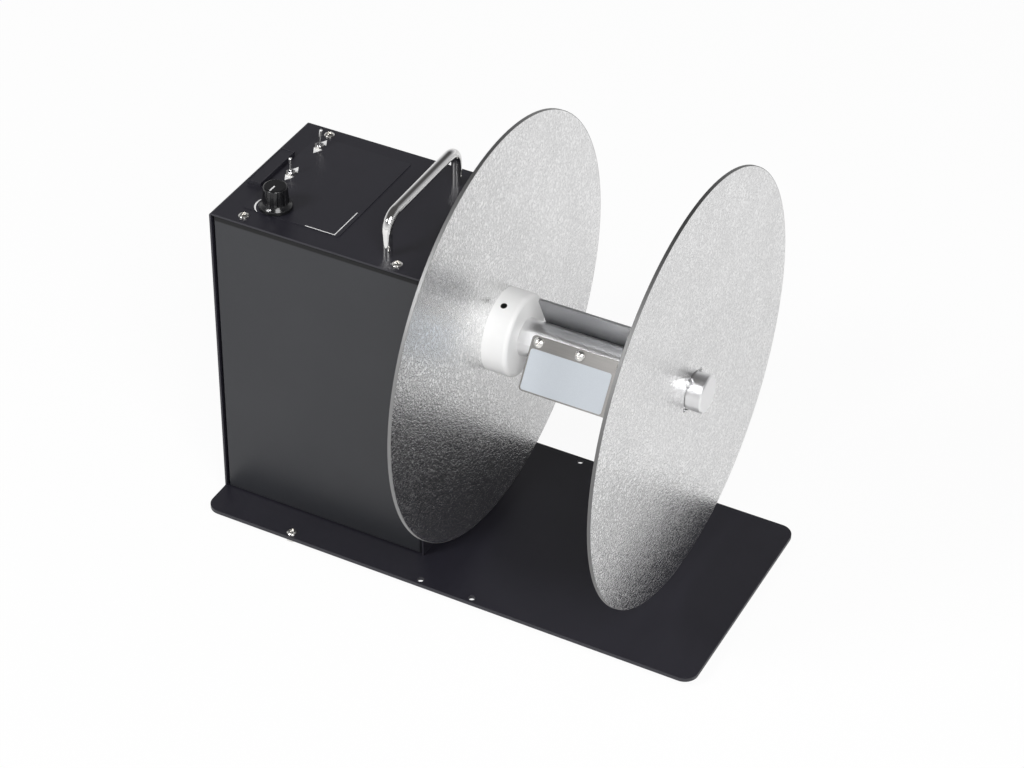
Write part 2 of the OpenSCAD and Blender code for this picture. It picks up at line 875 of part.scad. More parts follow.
module drive_pinion() {
    color("#d9b24c") along_x(gear_x0, motor_z) linear_extrude(gear_w) difference() {
        rotate([0, 0, 90 + 180 / pinion_teeth]) gear_outline(pinion_teeth);
        circle(d = motor_shaft_d + 2 * press_gap);
    }
}

module key_slot(gap) {
    w = key_w + 2 * gap;
    translate([shaft_r - key_in_shaft - gap, -w / 2]) square([key_h + 2 * gap, w]);
}

module spindle_gear() {
    web_r0 = shaft_r + 10;
    web_r1 = gear_module * gear_teeth / 2 - 8;
    hole_d = (web_r1 - web_r0) * 0.8;
    color("#e8e4d4") along_x(gear_x0) linear_extrude(gear_w) difference() {
        rotate([0, 0, -90]) gear_outline(gear_teeth);
        circle(d = shaft_d + 2 * press_gap);
        key_slot(press_gap);
        bolt_ring(6, (web_r0 + web_r1) / 2, hole_d, 30);
    }
}

module gear_key() {
    color(steel) along_x(shaft_x0 + press_gap) linear_extrude(gear_w - shaft_setback - 0.1) key_slot(0);
}

module gear_spacer() {
    color(steel) along_x(gear_x1) linear_extrude(frame_left1 - gear_x1) difference() {
        circle(r = inner_ring_r - 0.5);
        circle(d = shaft_d + 2 * press_gap);
    }
}

module gear_end_screw() {
    color(zinc) along_x(gear_x0) rotate([180, 0, 0]) {
        cylinder(d = end_washer_d, h = end_washer_t);
        translate([0, 0, end_washer_t - eps]) linear_extrude(end_head_h) hexagon(end_head_across);
        translate([0, 0, -end_screw_l]) cylinder(d = end_screw_d, h = end_screw_l + eps);
    }
}

// Grooves and rings stand just inside the two bearings
function circlip_xs() = [frame_left1 + bearing_w, frame_right0 - bearing_w - circlip_t];

module retaining_rings() {
    inner = shaft_r - circlip_depth + press_gap;
    color("#44474b")
        for (x = circlip_xs())
            along_x(x) difference() {
                cylinder(r = inner + circlip_w, h = circlip_t);
                translate([0, 0, -over]) cylinder(r = inner, h = circlip_t + 2 * over);
                translate([0, 0, -over]) linear_extrude(circlip_t + 2 * over) polygon([
                    [0, 0], polar(shaft_d, 90 - circlip_gap / 2), polar(shaft_d, 90 + circlip_gap / 2)
                ]);
            }
}

// Spindle and core holder

// Puts children on the flat of one core fin: z points out, x along the fin's width
module on_fin(turn, x, r) {
    along_x(x) around(turn) translate([r, 0, 0]) rotate([0, 90, 0]) rotate([0, 0, 90]) children();
}

module spindle_shaft() {
    color(bright) difference() {
        along_x(shaft_x0) rotate_extrude() polygon([
            [0, 0], [shaft_r - shaft_chamfer, 0], [shaft_r, shaft_chamfer],
            [shaft_r, shaft_x1 - shaft_x0 - shaft_chamfer],
            [shaft_r - shaft_chamfer, shaft_x1 - shaft_x0], [0, shaft_x1 - shaft_x0]
        ]);
        for (turn = fin_turns) {
            along_x(flat_x0) around(turn) translate([flat_r, -shaft_r, 0])
                cube([shaft_r, shaft_d, flat_x1 - flat_x0]);
            for (x = fin_screw_xs)
                on_fin(turn, x, flat_r - fin_screw_depth)
                    cylinder(d = screw_d + 2 * press_gap, h = fin_screw_depth + over);
        }
        along_x(shaft_x0 - over) linear_extrude(gear_w + over) key_slot(press_gap);
        along_x(shaft_x0 - over) cylinder(d = end_screw_d + 2 * press_gap, h = end_screw_l + 4 + over);
        for (x = circlip_xs())
            along_x(x - press_gap) difference() {
                cylinder(d = shaft_d + over, h = circlip_t + 2 * press_gap);
                translate([0, 0, -over]) cylinder(r = shaft_r - circlip_depth, h = circlip_t + 2 * over);
            }
        along_x(lock_x) around(lock_turn) rotate([0, 90, 0]) translate([0, 0, plunger_r0 - press_gap])
            cylinder(d = plunger_d + 2 * press_gap, h = shaft_r);
    }
}

module flange_disc(hole_d) {
    difference() {
        circle(d = flange_d, $fn = 180);
        circle(d = hole_d);
    }
}

module inner_flange() {
    color("#cfd1d4") along_x(inner_flange_x0) linear_extrude(flange_t) difference() {
        flange_disc(shaft_d + 2 * run_gap);
        bolt_ring(4, flange_screw_r, screw_d + 2 * screw_gap, 45);
    }
}

module flange_collar() {
    r = collar_d / 2;
    color("#f2f3f4") along_x(inner_flange_x1) difference() {
        rotate_extrude() difference() {
            union() {
                square([r - collar_round, collar_w]);
                square([r, collar_w - collar_round]);
                translate([r - collar_round, collar_w - collar_round]) circle(collar_round);
            }
            translate([-over, -over]) square([shaft_r + press_gap + over, collar_w + 2 * over]);
        }
        for (i = [0 : 3])
            around(45 + i * 90) translate([flange_screw_r, 0, -over])
                cylinder(d = screw_d + 2 * press_gap, h = flange_screw_l + over);
        translate([0, 0, collar_set_x - inner_flange_x1]) around(collar_set_turn) rotate([0, 90, 0])
            cylinder(d = collar_set_d + 2 * press_gap, h = collar_d);
    }
}

module flange_screws() {
    color(zinc) along_x(inner_flange_x0)
        for (i = [0 : 3])
            around(45 + i * 90) translate([flange_screw_r, 0, 0]) rotate([180, 0, 0])
                pan_screw(screw_d, screw_head_d, screw_head_h, flange_t + flange_screw_l - over);
}

module collar_set_screw() {
    color("#3a3c40") along_x(collar_set_x) around(collar_set_turn) rotate([0, 90, 0])
        translate([0, 0, shaft_r + press_gap]) difference() {
            cylinder(d = collar_set_d, h = collar_set_l);
            translate([0, 0, collar_set_l - 2]) linear_extrude(3) hexagon(2.5);
        }
}

module core_fin(turn) {
    w = fin_reach + fin_heel;
    color("#8d8f92") difference() {
        on_fin(turn, fin_x0 + fin_l / 2, flat_r)
            translate([(fin_reach - fin_heel) / 2, 0, 0])
                linear_extrude(fin_t) rounded_rect(w, fin_l, fin_round);
        for (x = fin_screw_xs)
            on_fin(turn, x, flat_r - over)
                cylinder(d = screw_d + 2 * screw_gap, h = fin_t + 2 * over);
    }
}

module core_fin_1() {
    core_fin(fin_turns[0]);
}

module core_fin_2() {
    core_fin(fin_turns[1]);
}

module core_fin_3() {
    core_fin(fin_turns[2]);
}

module fin_screws() {
    color(bright)
        for (turn = fin_turns, x = fin_screw_xs)
            on_fin(turn, x, fin_r1)
                pan_screw(screw_d, screw_head_d, screw_head_h, fin_t + fin_screw_depth - over);
}

module on_lock(r) {
    along_x(lock_x) around(lock_turn) rotate([0, 90, 0]) translate([0, 0, r]) children();
}

module ball_plunger() {
    color("#8a8d91") on_lock(plunger_r0) difference() {
        cylinder(d = plunger_d, h = plunger_r1 - plunger_r0);
        translate([0, 0, 1]) cylinder(d = lock_ball_d + 2 * run_gap, h = shaft_r);
    }
}

module lock_ball() {
    color(bright) on_lock(lock_ball_r) sphere(d = lock_ball_d);
}

module outer_flange() {
    color("#d5d7da") along_x(outer_flange_x0) linear_extrude(flange_t) difference() {
        flange_disc(shaft_d + 2 * flange_slack);
        for (i = [0 : lock_notches - 1])
            around(lock_turn + i * 360 / lock_notches)
                translate([lock_ball_r, 0]) circle(d = lock_ball_d + 2 * flange_slack);
    }
}

// Controls

module torque_knob() {
    skirt_r = knob_skirt_d / 2;
    grip_r = knob_grip_d / 2;
    flute_r = 1.7;
    color("#0e0e10") translate([knob_pos.x, knob_pos.y, knob_z]) difference() {
        rotate_extrude() difference() {
            polygon([
                [0, 0], [skirt_r, 0], [skirt_r, 1.8], [skirt_r - 0.6, 2.6], [grip_r + 1.1, 4],
                [grip_r + 0.4, 5.2], [grip_r, 7], [grip_r - 0.6, knob_h - 1.2],
                [grip_r - 1, knob_h - 0.4], [grip_r - 1.8, knob_h], [0, knob_h]
            ]);
            translate([-over, -over]) square([knob_cavity_d / 2 + over, knob_cavity_h + over]);
            translate([-over, -over])
                square([pot_shaft_d / 2 + press_gap + over, knob_h - knob_cap + over]);
        }
        for (i = [0 : knob_flutes - 1])
            rotate([0, 0, (i + 0.5) * 360 / knob_flutes])
                translate([grip_r + flute_r - 0.9, 0, 5.2]) cylinder(r = flute_r, h = knob_h);
        rotate([0, 0, 90]) translate([0, 0, knob_set_z]) rotate([0, 90, 0])
            cylinder(d = knob_set_d + 2 * press_gap, h = knob_skirt_d);
    }
}

module knob_set_screw() {
    color("#55585c") translate([knob_pos.x, knob_pos.y, knob_z + knob_set_z])
        rotate([0, 0, 90]) rotate([0, 90, 0])
            translate([0, 0, pot_shaft_d / 2 + press_gap]) difference() {
                cylinder(d = knob_set_d, h = 4);
                translate([0, 0, 3]) cube([knob_set_d + over, 0.6, 2.2], center = true);
            }
}

module pot_shaft() {
    color(steel) translate([knob_pos.x, knob_pos.y, top_z - sheet_t - pot_h + 2])
        cylinder(d = pot_shaft_d, h = knob_z + knob_h - knob_cap - 0.1 - (top_z - sheet_t - pot_h + 2));
}

module potentiometer() {
    body_z = top_z - sheet_t - pot_h;
    color("#9a8f78") translate([knob_pos.x, knob_pos.y, body_z]) difference() {
        union() {
            cylinder(d = pot_d, h = pot_h);
            cylinder(d = pot_bush_d, h = pot_h + sheet_t + overlay_t + pot_bush_h);
            for (x = [-5, 0, 5])
                translate([x - pot_lug.x / 2, pot_d / 2 - pot_lug_in, pot_lug_z]) cube(pot_lug);
        }
        translate([0, 0, 1.9]) cylinder(d = pot_shaft_d + 2 * run_gap, h = 3 * pot_h);
    }
}

module switch_body(p) {
    color("#b8bcc2") translate([p.x, p.y, top_z - sheet_t - switch_h]) difference() {
        union() {
            translate([-switch_w / 2, -switch_l / 2, 0]) cube([switch_w, switch_l, switch_h]);
            cylinder(d = bush_d, h = switch_h + sheet_t + overlay_t + bush_h);
            for (y = [-4.7, 0, 4.7])
                translate([-switch_lug.x / 2, y - switch_lug.y / 2, -switch_lug.z])
                    cube(switch_lug + [0, 0, over]);
        }
        translate([0, 0, 2]) cylinder(d = bush_bore, h = 3 * switch_h);
    }
}

module direction_switch() {
    switch_body(direction_pos);
}

module torque_switch() {
    switch_body(torque_pos);
}

module control_nuts() {
    color(bright) {
        for (p = [direction_pos, torque_pos])
            translate([p.x, p.y, panel_z]) hex_nut(switch_nut_across, bush_d + 2 * press_gap, nut_h);
        translate([knob_pos.x, knob_pos.y, panel_z])
            hex_nut(pot_nut_across, pot_bush_d + 2 * press_gap, nut_h);
    }
}

// Lever standing on its pivot ball and pin, with a swollen round tip
module switch_lever(p, tilt) {
    reach = lever_drop + lever_l - lever_tip_d / 2;
    color(bright) translate([p.x, p.y, pivot_z]) rotate([tilt, 0, 0]) {
        sphere(d = lever_ball_d);
        rotate([0, 90, 0]) cylinder(d = lever_pin_d, h = lever_pin_l, center = true);
        cylinder(d1 = lever_d, d2 = lever_tip_d, h = reach);
        translate([0, 0, reach]) sphere(d = lever_tip_d);
        translate([0, 0, -4]) cylinder(d = lever_d * 0.75, h = 4);
    }
}

module direction_lever() {
    switch_lever(direction_pos, 0);
}

module torque_lever() {
    switch_lever(torque_pos, -lever_tilt);
}

// Electronics

function board_hole_places() = [
    for (x = [-1, 1], y = [-1, 1])
        [board_x + x * (board_l / 2 - board_hole_inset), y * (board_d / 2 - board_hole_inset)]
];

module circuit_board() {
    color("#2f6b45") translate([0, 0, board_z]) linear_extrude(board_t) difference() {
        translate([board_x, 0]) square([board_l, board_d], center = true);
        for (p = board_hole_places())
            translate(p) circle(d = standoff_thread_d + 2 * press_gap);
    }
}

module board_standoffs() {
    color("#c9a84a")
        for (p = board_hole_places())
            translate([p.x, p.y, 0]) {
                translate([0, 0, floor_z + frame_t]) cylinder(d = standoff_d, h = standoff_h);
                translate([0, 0, floor_z + 1])
                    cylinder(d = standoff_thread_d - 2 * press_gap, h = frame_t + standoff_h + board_t);
                translate([0, 0, board_z + board_t]) cylinder(d = standoff_d - 0.5, h = 1.8);
            }
}

module board_components() {
    color("#4a4d52") translate([board_x - sink_l, -board_d / 5, board_top]) {
        cube([sink_l, sink_plate, sink_h]);
        for (i = [0 : sink_fins - 1])
            translate([i * (sink_l - sink_fin_t) / (sink_fins - 1), sink_plate - eps, 0])
                cube([sink_fin_t, sink_d, sink_h]);
    }
    color("#23406b") for (i = [0, 1])
        translate([board_x + i * capacitor_pitch, board_d / 5, board_top])
            cylinder(d = capacitor_d, h = capacitor_h);
    color("#2e7d4f") translate([terminal_x, -terminal_d / 2, board_top])
        cube([terminal_l, terminal_d, terminal_h]);
    color("#1b1c1f") translate([board_x - sink_l, board_d / 6, board_top])
        cube([chip_l, chip_d, chip_h]);
    color("#dcdcd4") translate([header_x, -board_d / 2, board_top])
        cube([header_l, header_d, header_h]);
}

module power_inlet() {
    lip = 2;
    color("#1a1a1c") translate([inlet_x, rear_face + lip, inlet_z]) rotate([90, 0, 0]) {
        difference() {
            union() {
                cylinder(d = inlet_d + 4, h = lip);
                cylinder(d = inlet_d, h = lip + inlet_inside);
                translate([0, 0, lip + sheet_t]) linear_extrude(3) hexagon(inlet_d + 4);
            }
            translate([0, 0, -over]) cylinder(d = inlet_bore_d, h = inlet_inside);
        }
        translate([0, 0, 1]) cylinder(d = inlet_pin_d, h = inlet_inside);
    }
}

// A wire along a path of points, with a bead that closes each bend
module wire(path, d) {
    for (i = [0 : len(path) - 2])
        let (step = path[i + 1] - path[i])
            translate(path[i]) rotate([0, acos(step.z / norm(step)), atan2(step.y, step.x)])
                cylinder(d = d, h = norm(step));
    for (i = [1 : len(path) - 2])
        translate(path[i]) sphere(d = d + 2 * press_gap);
}

module power_wires() {
    plug_x = terminal_x + terminal_l / 2;
    plug_z = board_top + terminal_h;
    inlet_y = rear_face - inlet_inside;
    motor_x = frame_left1 + gearbox_l + motor_l - motor_boss_l;
    motor_drop = motor_z - motor_boss_d * 0.8;
    color("#8a2f2a") for (i = [0, 1]) {
        y = (i + 1) * wire_pitch;
        x = inlet_x + (i - 0.5) * wire_pitch;
        wire([
            [x, inlet_y, inlet_z], [x, inlet_y - wire_bend, inlet_z],
            [plug_x, y, plug_z + 2 * wire_bend], [plug_x, y, plug_z]
        ], wire_d);
        wire([
            [motor_x, -y, motor_drop], [motor_x + wire_bend, -y, motor_drop],
            [motor_x + wire_bend, -y, plug_z + 2 * wire_bend],
            [plug_x, -y, plug_z + wire_bend], [plug_x, -y, plug_z]
        ], wire_d);
    }
}

// The cables come down in front of the bearing frame
module control_wires() {
    lane_y = (box_y0 + panel_recess + panel_fold - frame_d / 2) / 2;
    plug_y = (header_d - board_d) / 2;
    plug_z = board_top + header_h;
    lug_z = top_z - sheet_t - switch_h - switch_lug.z;
    pot_y = knob_pos.y + pot_d / 2 + pot_lug.y - pot_lug_in;
    pot_z = top_z - sheet_t - pot_h + pot_lug_z + pot_lug.z / 2;
    drop_z = lug_z - wire_bend / 2;
    back_y = pot_y + wire_bend / 2;
    starts = [
        [[torque_pos.x, torque_pos.y, lug_z], [torque_pos.x, torque_pos.y, drop_z]],
        [[direction_pos.x, direction_pos.y, lug_z], [direction_pos.x, direction_pos.y, drop_z]],
        [[knob_pos.x, pot_y, pot_z], [knob_pos.x, back_y, pot_z], [knob_pos.x, back_y, drop_z]]
    ];
    color("#3b3d42") for (i = [0 : 2]) {
        x = header_x + header_l / 2 + (1 - i) * cable_pitch;
        wire(concat(starts[i], [
            [x, lane_y, drop_z], [x, lane_y, plug_z + 4 * wire_bend],
            [x, plug_y, plug_z + wire_bend], [x, plug_y, plug_z]
        ]), cable_d);
    }
}

base_plate();
rubber_feet();
edge_screws();
edge_nuts();
housing_cover();
front_panel();
rear_panel();
cover_screws();
panel_screws();
carry_handle();
handle_screws();
control_overlay();
name_plate();
bearing_frame();
frame_screws();
left_bearing_housing();
right_bearing_housing();
housing_bolts();
bearing_outer_rings();
bearing_inner_rings();
bearing_balls();
bearing_cages();
drive_motor();
motor_gearbox();
motor_bolts();
motor_shaft();
drive_pinion();
spindle_gear();
gear_key();
gear_spacer();
gear_end_screw();
retaining_rings();
spindle_shaft();
inner_flange();
flange_collar();
flange_screws();
collar_set_screw();
core_fin_1();
core_fin_2();
core_fin_3();
fin_screws();
ball_plunger();
lock_ball();
outer_flange();
torque_knob();
knob_set_screw();
pot_shaft();
potentiometer();
direction_switch();
torque_switch();
control_nuts();
direction_lever();
torque_lever();
circuit_board();
board_components();
board_standoffs();
power_inlet();
power_wires();
control_wires();
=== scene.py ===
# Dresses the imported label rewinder: finishes for its solids, printed marks, a white studio and the camera.

import json
import math

import bmesh
import bpy
from mathutils import Matrix, Vector


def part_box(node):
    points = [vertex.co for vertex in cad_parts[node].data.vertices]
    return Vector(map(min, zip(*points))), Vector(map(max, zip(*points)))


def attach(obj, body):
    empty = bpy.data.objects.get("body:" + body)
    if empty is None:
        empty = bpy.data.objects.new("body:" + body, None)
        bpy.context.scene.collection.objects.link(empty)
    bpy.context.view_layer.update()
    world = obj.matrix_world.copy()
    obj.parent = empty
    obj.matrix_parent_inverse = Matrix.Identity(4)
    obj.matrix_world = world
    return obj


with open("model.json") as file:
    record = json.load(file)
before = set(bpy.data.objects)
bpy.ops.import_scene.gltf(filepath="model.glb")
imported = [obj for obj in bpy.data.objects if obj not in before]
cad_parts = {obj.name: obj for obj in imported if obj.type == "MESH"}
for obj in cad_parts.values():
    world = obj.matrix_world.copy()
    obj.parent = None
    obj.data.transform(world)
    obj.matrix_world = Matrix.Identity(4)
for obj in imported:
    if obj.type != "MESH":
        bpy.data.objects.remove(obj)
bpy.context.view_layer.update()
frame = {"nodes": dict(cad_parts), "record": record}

MM = 0.001
nodes = frame["nodes"]
scene = bpy.context.scene


def middle_of(node):
    """Centre of a node's box, in millimetres."""
    low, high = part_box(node)
    return (low + high) / 2 / MM


def radius_of(node):
    """Radius of a node that is round about the spindle, in metres."""
    low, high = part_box(node)
    return (high.y - low.y) / 2


def top_of(node):
    """Height of a node's top, in metres."""
    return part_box(node)[1].z


axis_z = middle_of("spindle_shaft").z


# Nodes written as sums and products

class Wire:
    """One output in a node tree. Arithmetic on it adds Math nodes."""

    def __init__(self, owner, socket):
        self.owner = owner
        self.socket = socket

    def math(self, operation, first, second):
        return self.owner.node("ShaderNodeMath", {"operation": operation}, {0: first, 1: second})

    def __add__(self, other):
        return self.math("ADD", self, other)

    def __radd__(self, other):
        return self.math("ADD", other, self)

    def __sub__(self, other):
        return self.math("SUBTRACT", self, other)

    def __rsub__(self, other):
        return self.math("SUBTRACT", other, self)

    def __mul__(self, other):
        return self.math("MULTIPLY", self, other)

    def __rmul__(self, other):
        return self.math("MULTIPLY", other, self)

    def __pow__(self, other):
        return self.math("POWER", self, other)

    def __rpow__(self, other):
        return self.math("POWER", other, self)

    def __abs__(self):
        return self.math("ABSOLUTE", self, 0)

    def above(self, edge, soft):
        """0 below the edge and 1 above it, with a soft step between."""
        return self.owner.node(
            "ShaderNodeMapRange", {"interpolation_type": "SMOOTHSTEP"},
            {"Value": self, "From Min": edge - soft, "From Max": edge + soft})


def diagonal(a, b):
    return (a * a + b * b) ** 0.5


class Nodes:
    """A node tree, and the one way that a node is added to it."""

    def __init__(self, tree):
        self.tree = tree

    def node(self, kind, settings=None, inputs=None, output=0):
        """Adds a node, its settings first and then its sockets, and gives one of its outputs."""
        made = self.tree.nodes.new(kind)
        for key, value in (settings or {}).items():
            if key == "stops":
                self.set_stops(made.color_ramp, value)
            else:
                setattr(made, key, value)
        for key, value in (inputs or {}).items():
            self.feed(made.inputs[key], value)
        return Wire(self, made.outputs[output])

    @staticmethod
    def set_stops(ramp, stops):
        """A ramp's stops from low to high: its own two ends, and then those between them."""
        low, *between, high = stops
        for element, (place, colour) in zip(ramp.elements, (low, high)):
            element.position = place
            element.color = (*colour, 1)
        for place, colour in between:
            ramp.elements.new(place).color = (*colour, 1)

    def feed(self, socket, value):
        if isinstance(value, Wire):
            self.tree.links.new(value.socket, socket)
        elif isinstance(value, tuple) and len(value) == 3 and len(socket.default_value) == 4:
            socket.default_value = (*value, 1)
        else:
            socket.default_value = value

    def place(self, kind="Object"):
        """Position on the object, in metres, moving with the piece. For a sky, Generated is the direction."""
        return self.node("ShaderNodeTexCoord", output=kind)

    def axis(self, index, kind="Object"):
        return self.node("ShaderNodeSeparateXYZ", {}, {0: self.place(kind)}, index)


class Finish(Nodes):
    """A material whose constant values sit on the shader's own sockets."""

    def __init__(self, name, **constants):
        self.name = name
        self.material = bpy.data.materials.new(name)
        self.material.use_nodes = True
        super().__init__(self.material.node_tree)
        self.shader = self.tree.nodes["Principled BSDF"]
        for socket, value in constants.items():
            self.set(socket.replace("_", " "), value)

    def set(self, socket, value):
        self.feed(self.shader.inputs[socket], value)

    def noise(self, size, detail=2, rough=0.5, warp=0, along=(1, 1, 1)):
        """Cloudy value of about 0.5 with features of a size in metres, stretched along an axis."""
        stretched = self.node("ShaderNodeVectorMath", {"operation": "MULTIPLY"}, {0: self.place(), 1: along})
        return self.node("ShaderNodeTexNoise", {}, {
            "Vector": stretched, "Scale": 1 / size, "Detail": detail, "Roughness": rough, "Distortion": warp})

    def blend(self, amount, first, second):
        """Colour between two colours."""
        return self.node("ShaderNodeMix", {"data_type": "RGBA"}, {0: amount, 6: first, 7: second}, 2)

    def bump(self, height, depth, strength):
        self.set("Normal", self.node("ShaderNodeBump", {}, {
            "Height": height, "Distance": depth, "Strength": strength}))


def grey(tone):
    return (tone, tone, tone)


# Finishes. Sizes and depths of grain are in metres

PEEL, PEEL_DEPTH, PAINT_CLOUD, PAINT_SMEAR = 0.0011, 0.00003, 0.09, 0.03
# Tone and soft edge of the painted shade at the top of a panel
PAINTED_SHADE_TONE, PAINTED_SHADE_EDGE = (0.002, 0.002, 0.0025), 0.0008


def powder_coat(name, dark, light, rough, shade_above=None):
    """Satin powder paint: a fine orange peel, a little uneven in tone, and above a height, if one is given, painted
    shade that darkens and dulls it.
    """
    f = Finish(name)
    cloud = f.noise(PAINT_CLOUD, detail=3)
    peel = f.noise(PEEL)
    colour = f.blend((cloud - 0.35) * 1.6 + (peel - 0.5) * 0.8, dark, light)
    dullness = rough + (f.noise(PAINT_SMEAR) - 0.5) * 0.1
    # Painted shade: above the height the paint is darkened and made duller, standing in for the shade there
    if shade_above:
        thin = f.axis(2).above(shade_above, PAINTED_SHADE_EDGE)
        colour = f.blend(thin, colour, PAINTED_SHADE_TONE)
        dullness = dullness + thin * 0.45
    f.set("Base Color", colour)
    f.set("Roughness", dullness)
    f.bump(peel, PEEL_DEPTH, 0.5)
    return f


CREASE, PIMPLE, SHEET_CLOUD, SHEET_SMEAR = 0.0028, 0.0016, 0.05, 0.006
SHEET_DARK, SHEET_LIGHT, SHEET_ROUGH = (0.67, 0.67, 0.673), grey(0.985), 0.19
RIM_BAND, RIM_EDGE, RIM_DULL = 0.0004, 0.00008, 0.34
# Painted shade ring at a bore: the softness of its edge and its tone
BORE_SHADE_EDGE, BORE_SHADE_TONE = 0.0001, grey(0.03)


def embossed_aluminium(name, rim_shade_tone, grain_depth, bore=None):
    """Bright sheet rolled with a fine stucco grain, its sawn rim plain and dull and painted a darker grey as painted
    shade, and painted shade around the edge of a bore if one is given.
    """
    f = Finish(name, Metallic=1.0)
    radius = diagonal(f.axis(1), f.axis(2) - axis_z * MM)
    rim = radius.above(radius_of("inner_flange") - RIM_BAND, RIM_EDGE)
    creases = abs(f.noise(CREASE, warp=0.6) - 0.5) * 5
    grain = creases.above(0.30, 0.30) * 0.75 + f.noise(PIMPLE, rough=0.6) * 0.95
    cloud = f.noise(SHEET_CLOUD, detail=3)
    sheet = f.blend((cloud - 0.5) * 0.5 + grain * 0.75 - 0.1, SHEET_DARK, SHEET_LIGHT)
    # Painted shade: the rim is given a darker grey for the dark surroundings that it reflects
    colour = f.blend(rim, sheet, grey(rim_shade_tone))
    # Painted shade: a dark ring at the edge of the bore stands in for the shadow of the gap around the shaft
    if bore:
        colour = f.blend(1 - radius.above(bore, BORE_SHADE_EDGE), colour, BORE_SHADE_TONE)
    f.set("Base Color", colour)
    f.set("Roughness", SHEET_ROUGH + (f.noise(SHEET_SMEAR) - 0.5) * 0.12 + rim * RIM_DULL)
    f.bump(grain * (1 - rim), grain_depth, 1)
    return f


RING, RING_DEPTH, ROUND_THE_SPINDLE = 0.0012, 0.00002, (1, 0.03, 0.03)


def turned_metal(name, dark, light, rough):
    """Bright turned metal, with fine rings around the spindle."""
    f = Finish(name, Metallic=1.0)
    rings = f.noise(RING, detail=3, rough=0.6, along=ROUND_THE_SPINDLE)
    f.set("Base Color", f.blend(rings, dark, light))
    f.set("Roughness", rough + (rings - 0.5) * 0.16)
    f.bump(rings, RING_DEPTH, 0.5)
    return f


ALONG_THE_SPINDLE, STEEL_CLOUD = (0.03, 1, 1), 0.03


def brushed_steel(name, dark, light, rough, line=0.0008, depth=0.00002):
    """Steel brushed along the spindle."""
    f = Finish(name, Metallic=1.0)
    lines = f.noise(line, detail=3, rough=0.6, along=ALONG_THE_SPINDLE)
    cloud = f.noise(STEEL_CLOUD)
    f.set("Base Color", f.blend(lines * 0.7 + cloud * 0.3, dark, light))
    f.set("Roughness", rough + (lines - 0.5) * 0.2)
    f.bump(lines, depth, 0.4)
    return f


PLATING_CLOUD, PLATING_GRAIN, PLATING_DEPTH = 0.0025, 0.0006, 0.00001


def plated_steel(name, dark, light, rough):
    """Plated small hardware with a slightly clouded surface."""
    f = Finish(name, Metallic=1.0)
    cloud = f.noise(PLATING_CLOUD, detail=3)
    f.set("Base Color", f.blend(cloud, dark, light))
    f.set("Roughness", rough + (cloud - 0.5) * 0.2)
    f.bump(f.noise(PLATING_GRAIN), PLATING_DEPTH, 0.5)
    return f


# The second tone is the painted shade on the wall of a hole
PLASTIC_CLOUD, HOLE_SHADE_TONE = 0.012, grey(0.02)


def moulded_plastic(name, dark, light, rough, grain=0.0009, depth=0.00002, specular=0.5, hole=None):
    """Moulded or turned plastic with a faint grain. A hole's wall, with a thread cut in it, is darkened with painted
    shade.
    """
    f = Finish(name, Specular_IOR_Level=specular)
    fine = f.noise(grain)
    colour = f.blend(f.noise(PLASTIC_CLOUD) * 0.7 + fine * 0.3, dark, light)
    # Painted shade: the wall of a hole is darkened where shade falls inside it
    if hole:
        colour = f.blend(shaded_hole_wall(f, *hole), colour, HOLE_SHADE_TONE)
    f.set("Base Color", colour)
    f.set("Roughness", rough + (fine - 0.5) * 0.12)
    f.bump(fine, depth, 0.6)
    return f


def shaded_hole_wall(f, screw, radius, skin):
    """1 in a hole drilled to the spindle through a screw's middle, below the skin's radius: where the hole's painted
    shade goes. All in millimetres.
    """
    out = Vector((0, screw.y, screw.z - axis_z)).normalized()
    along = f.axis(0) - screw.x * MM
    side, rise = f.axis(1), f.axis(2) - axis_z * MM
    reach = side * out.y + rise * out.z
    aside = rise * out.y - side * out.z
    within = 1 - diagonal(along, aside).above(radius * MM, 0.1 * MM)
    sunk = 1 - reach.above((skin - 0.6) * MM, 0.2 * MM)
    return within * sunk * reach.above(0, 1 * MM)


INK_GRAIN, INK_ROUGH = 0.0006, 0.45


def printed(name, colour):
    """Opaque screen ink or film, a little uneven in tone."""
    f = Finish(name, Specular_IOR_Level=0.4)
    fine = f.noise(INK_GRAIN)
    f.set("Base Color", f.blend(fine, tuple(c * 0.86 for c in colour), colour))
    f.set("Roughness", INK_ROUGH + (fine - 0.5) * 0.2)
    return f


# Depth of the band of painted shade at the top of the front panel, under the cover's edge
PANEL_SHADE_BAND = 0.0044
# How far the painted shade ring at the outer flange's bore reaches beyond the shaft, in metres
BORE_SHADE_REACH = 0.0008
COLLAR_HOLE_R = 3.4

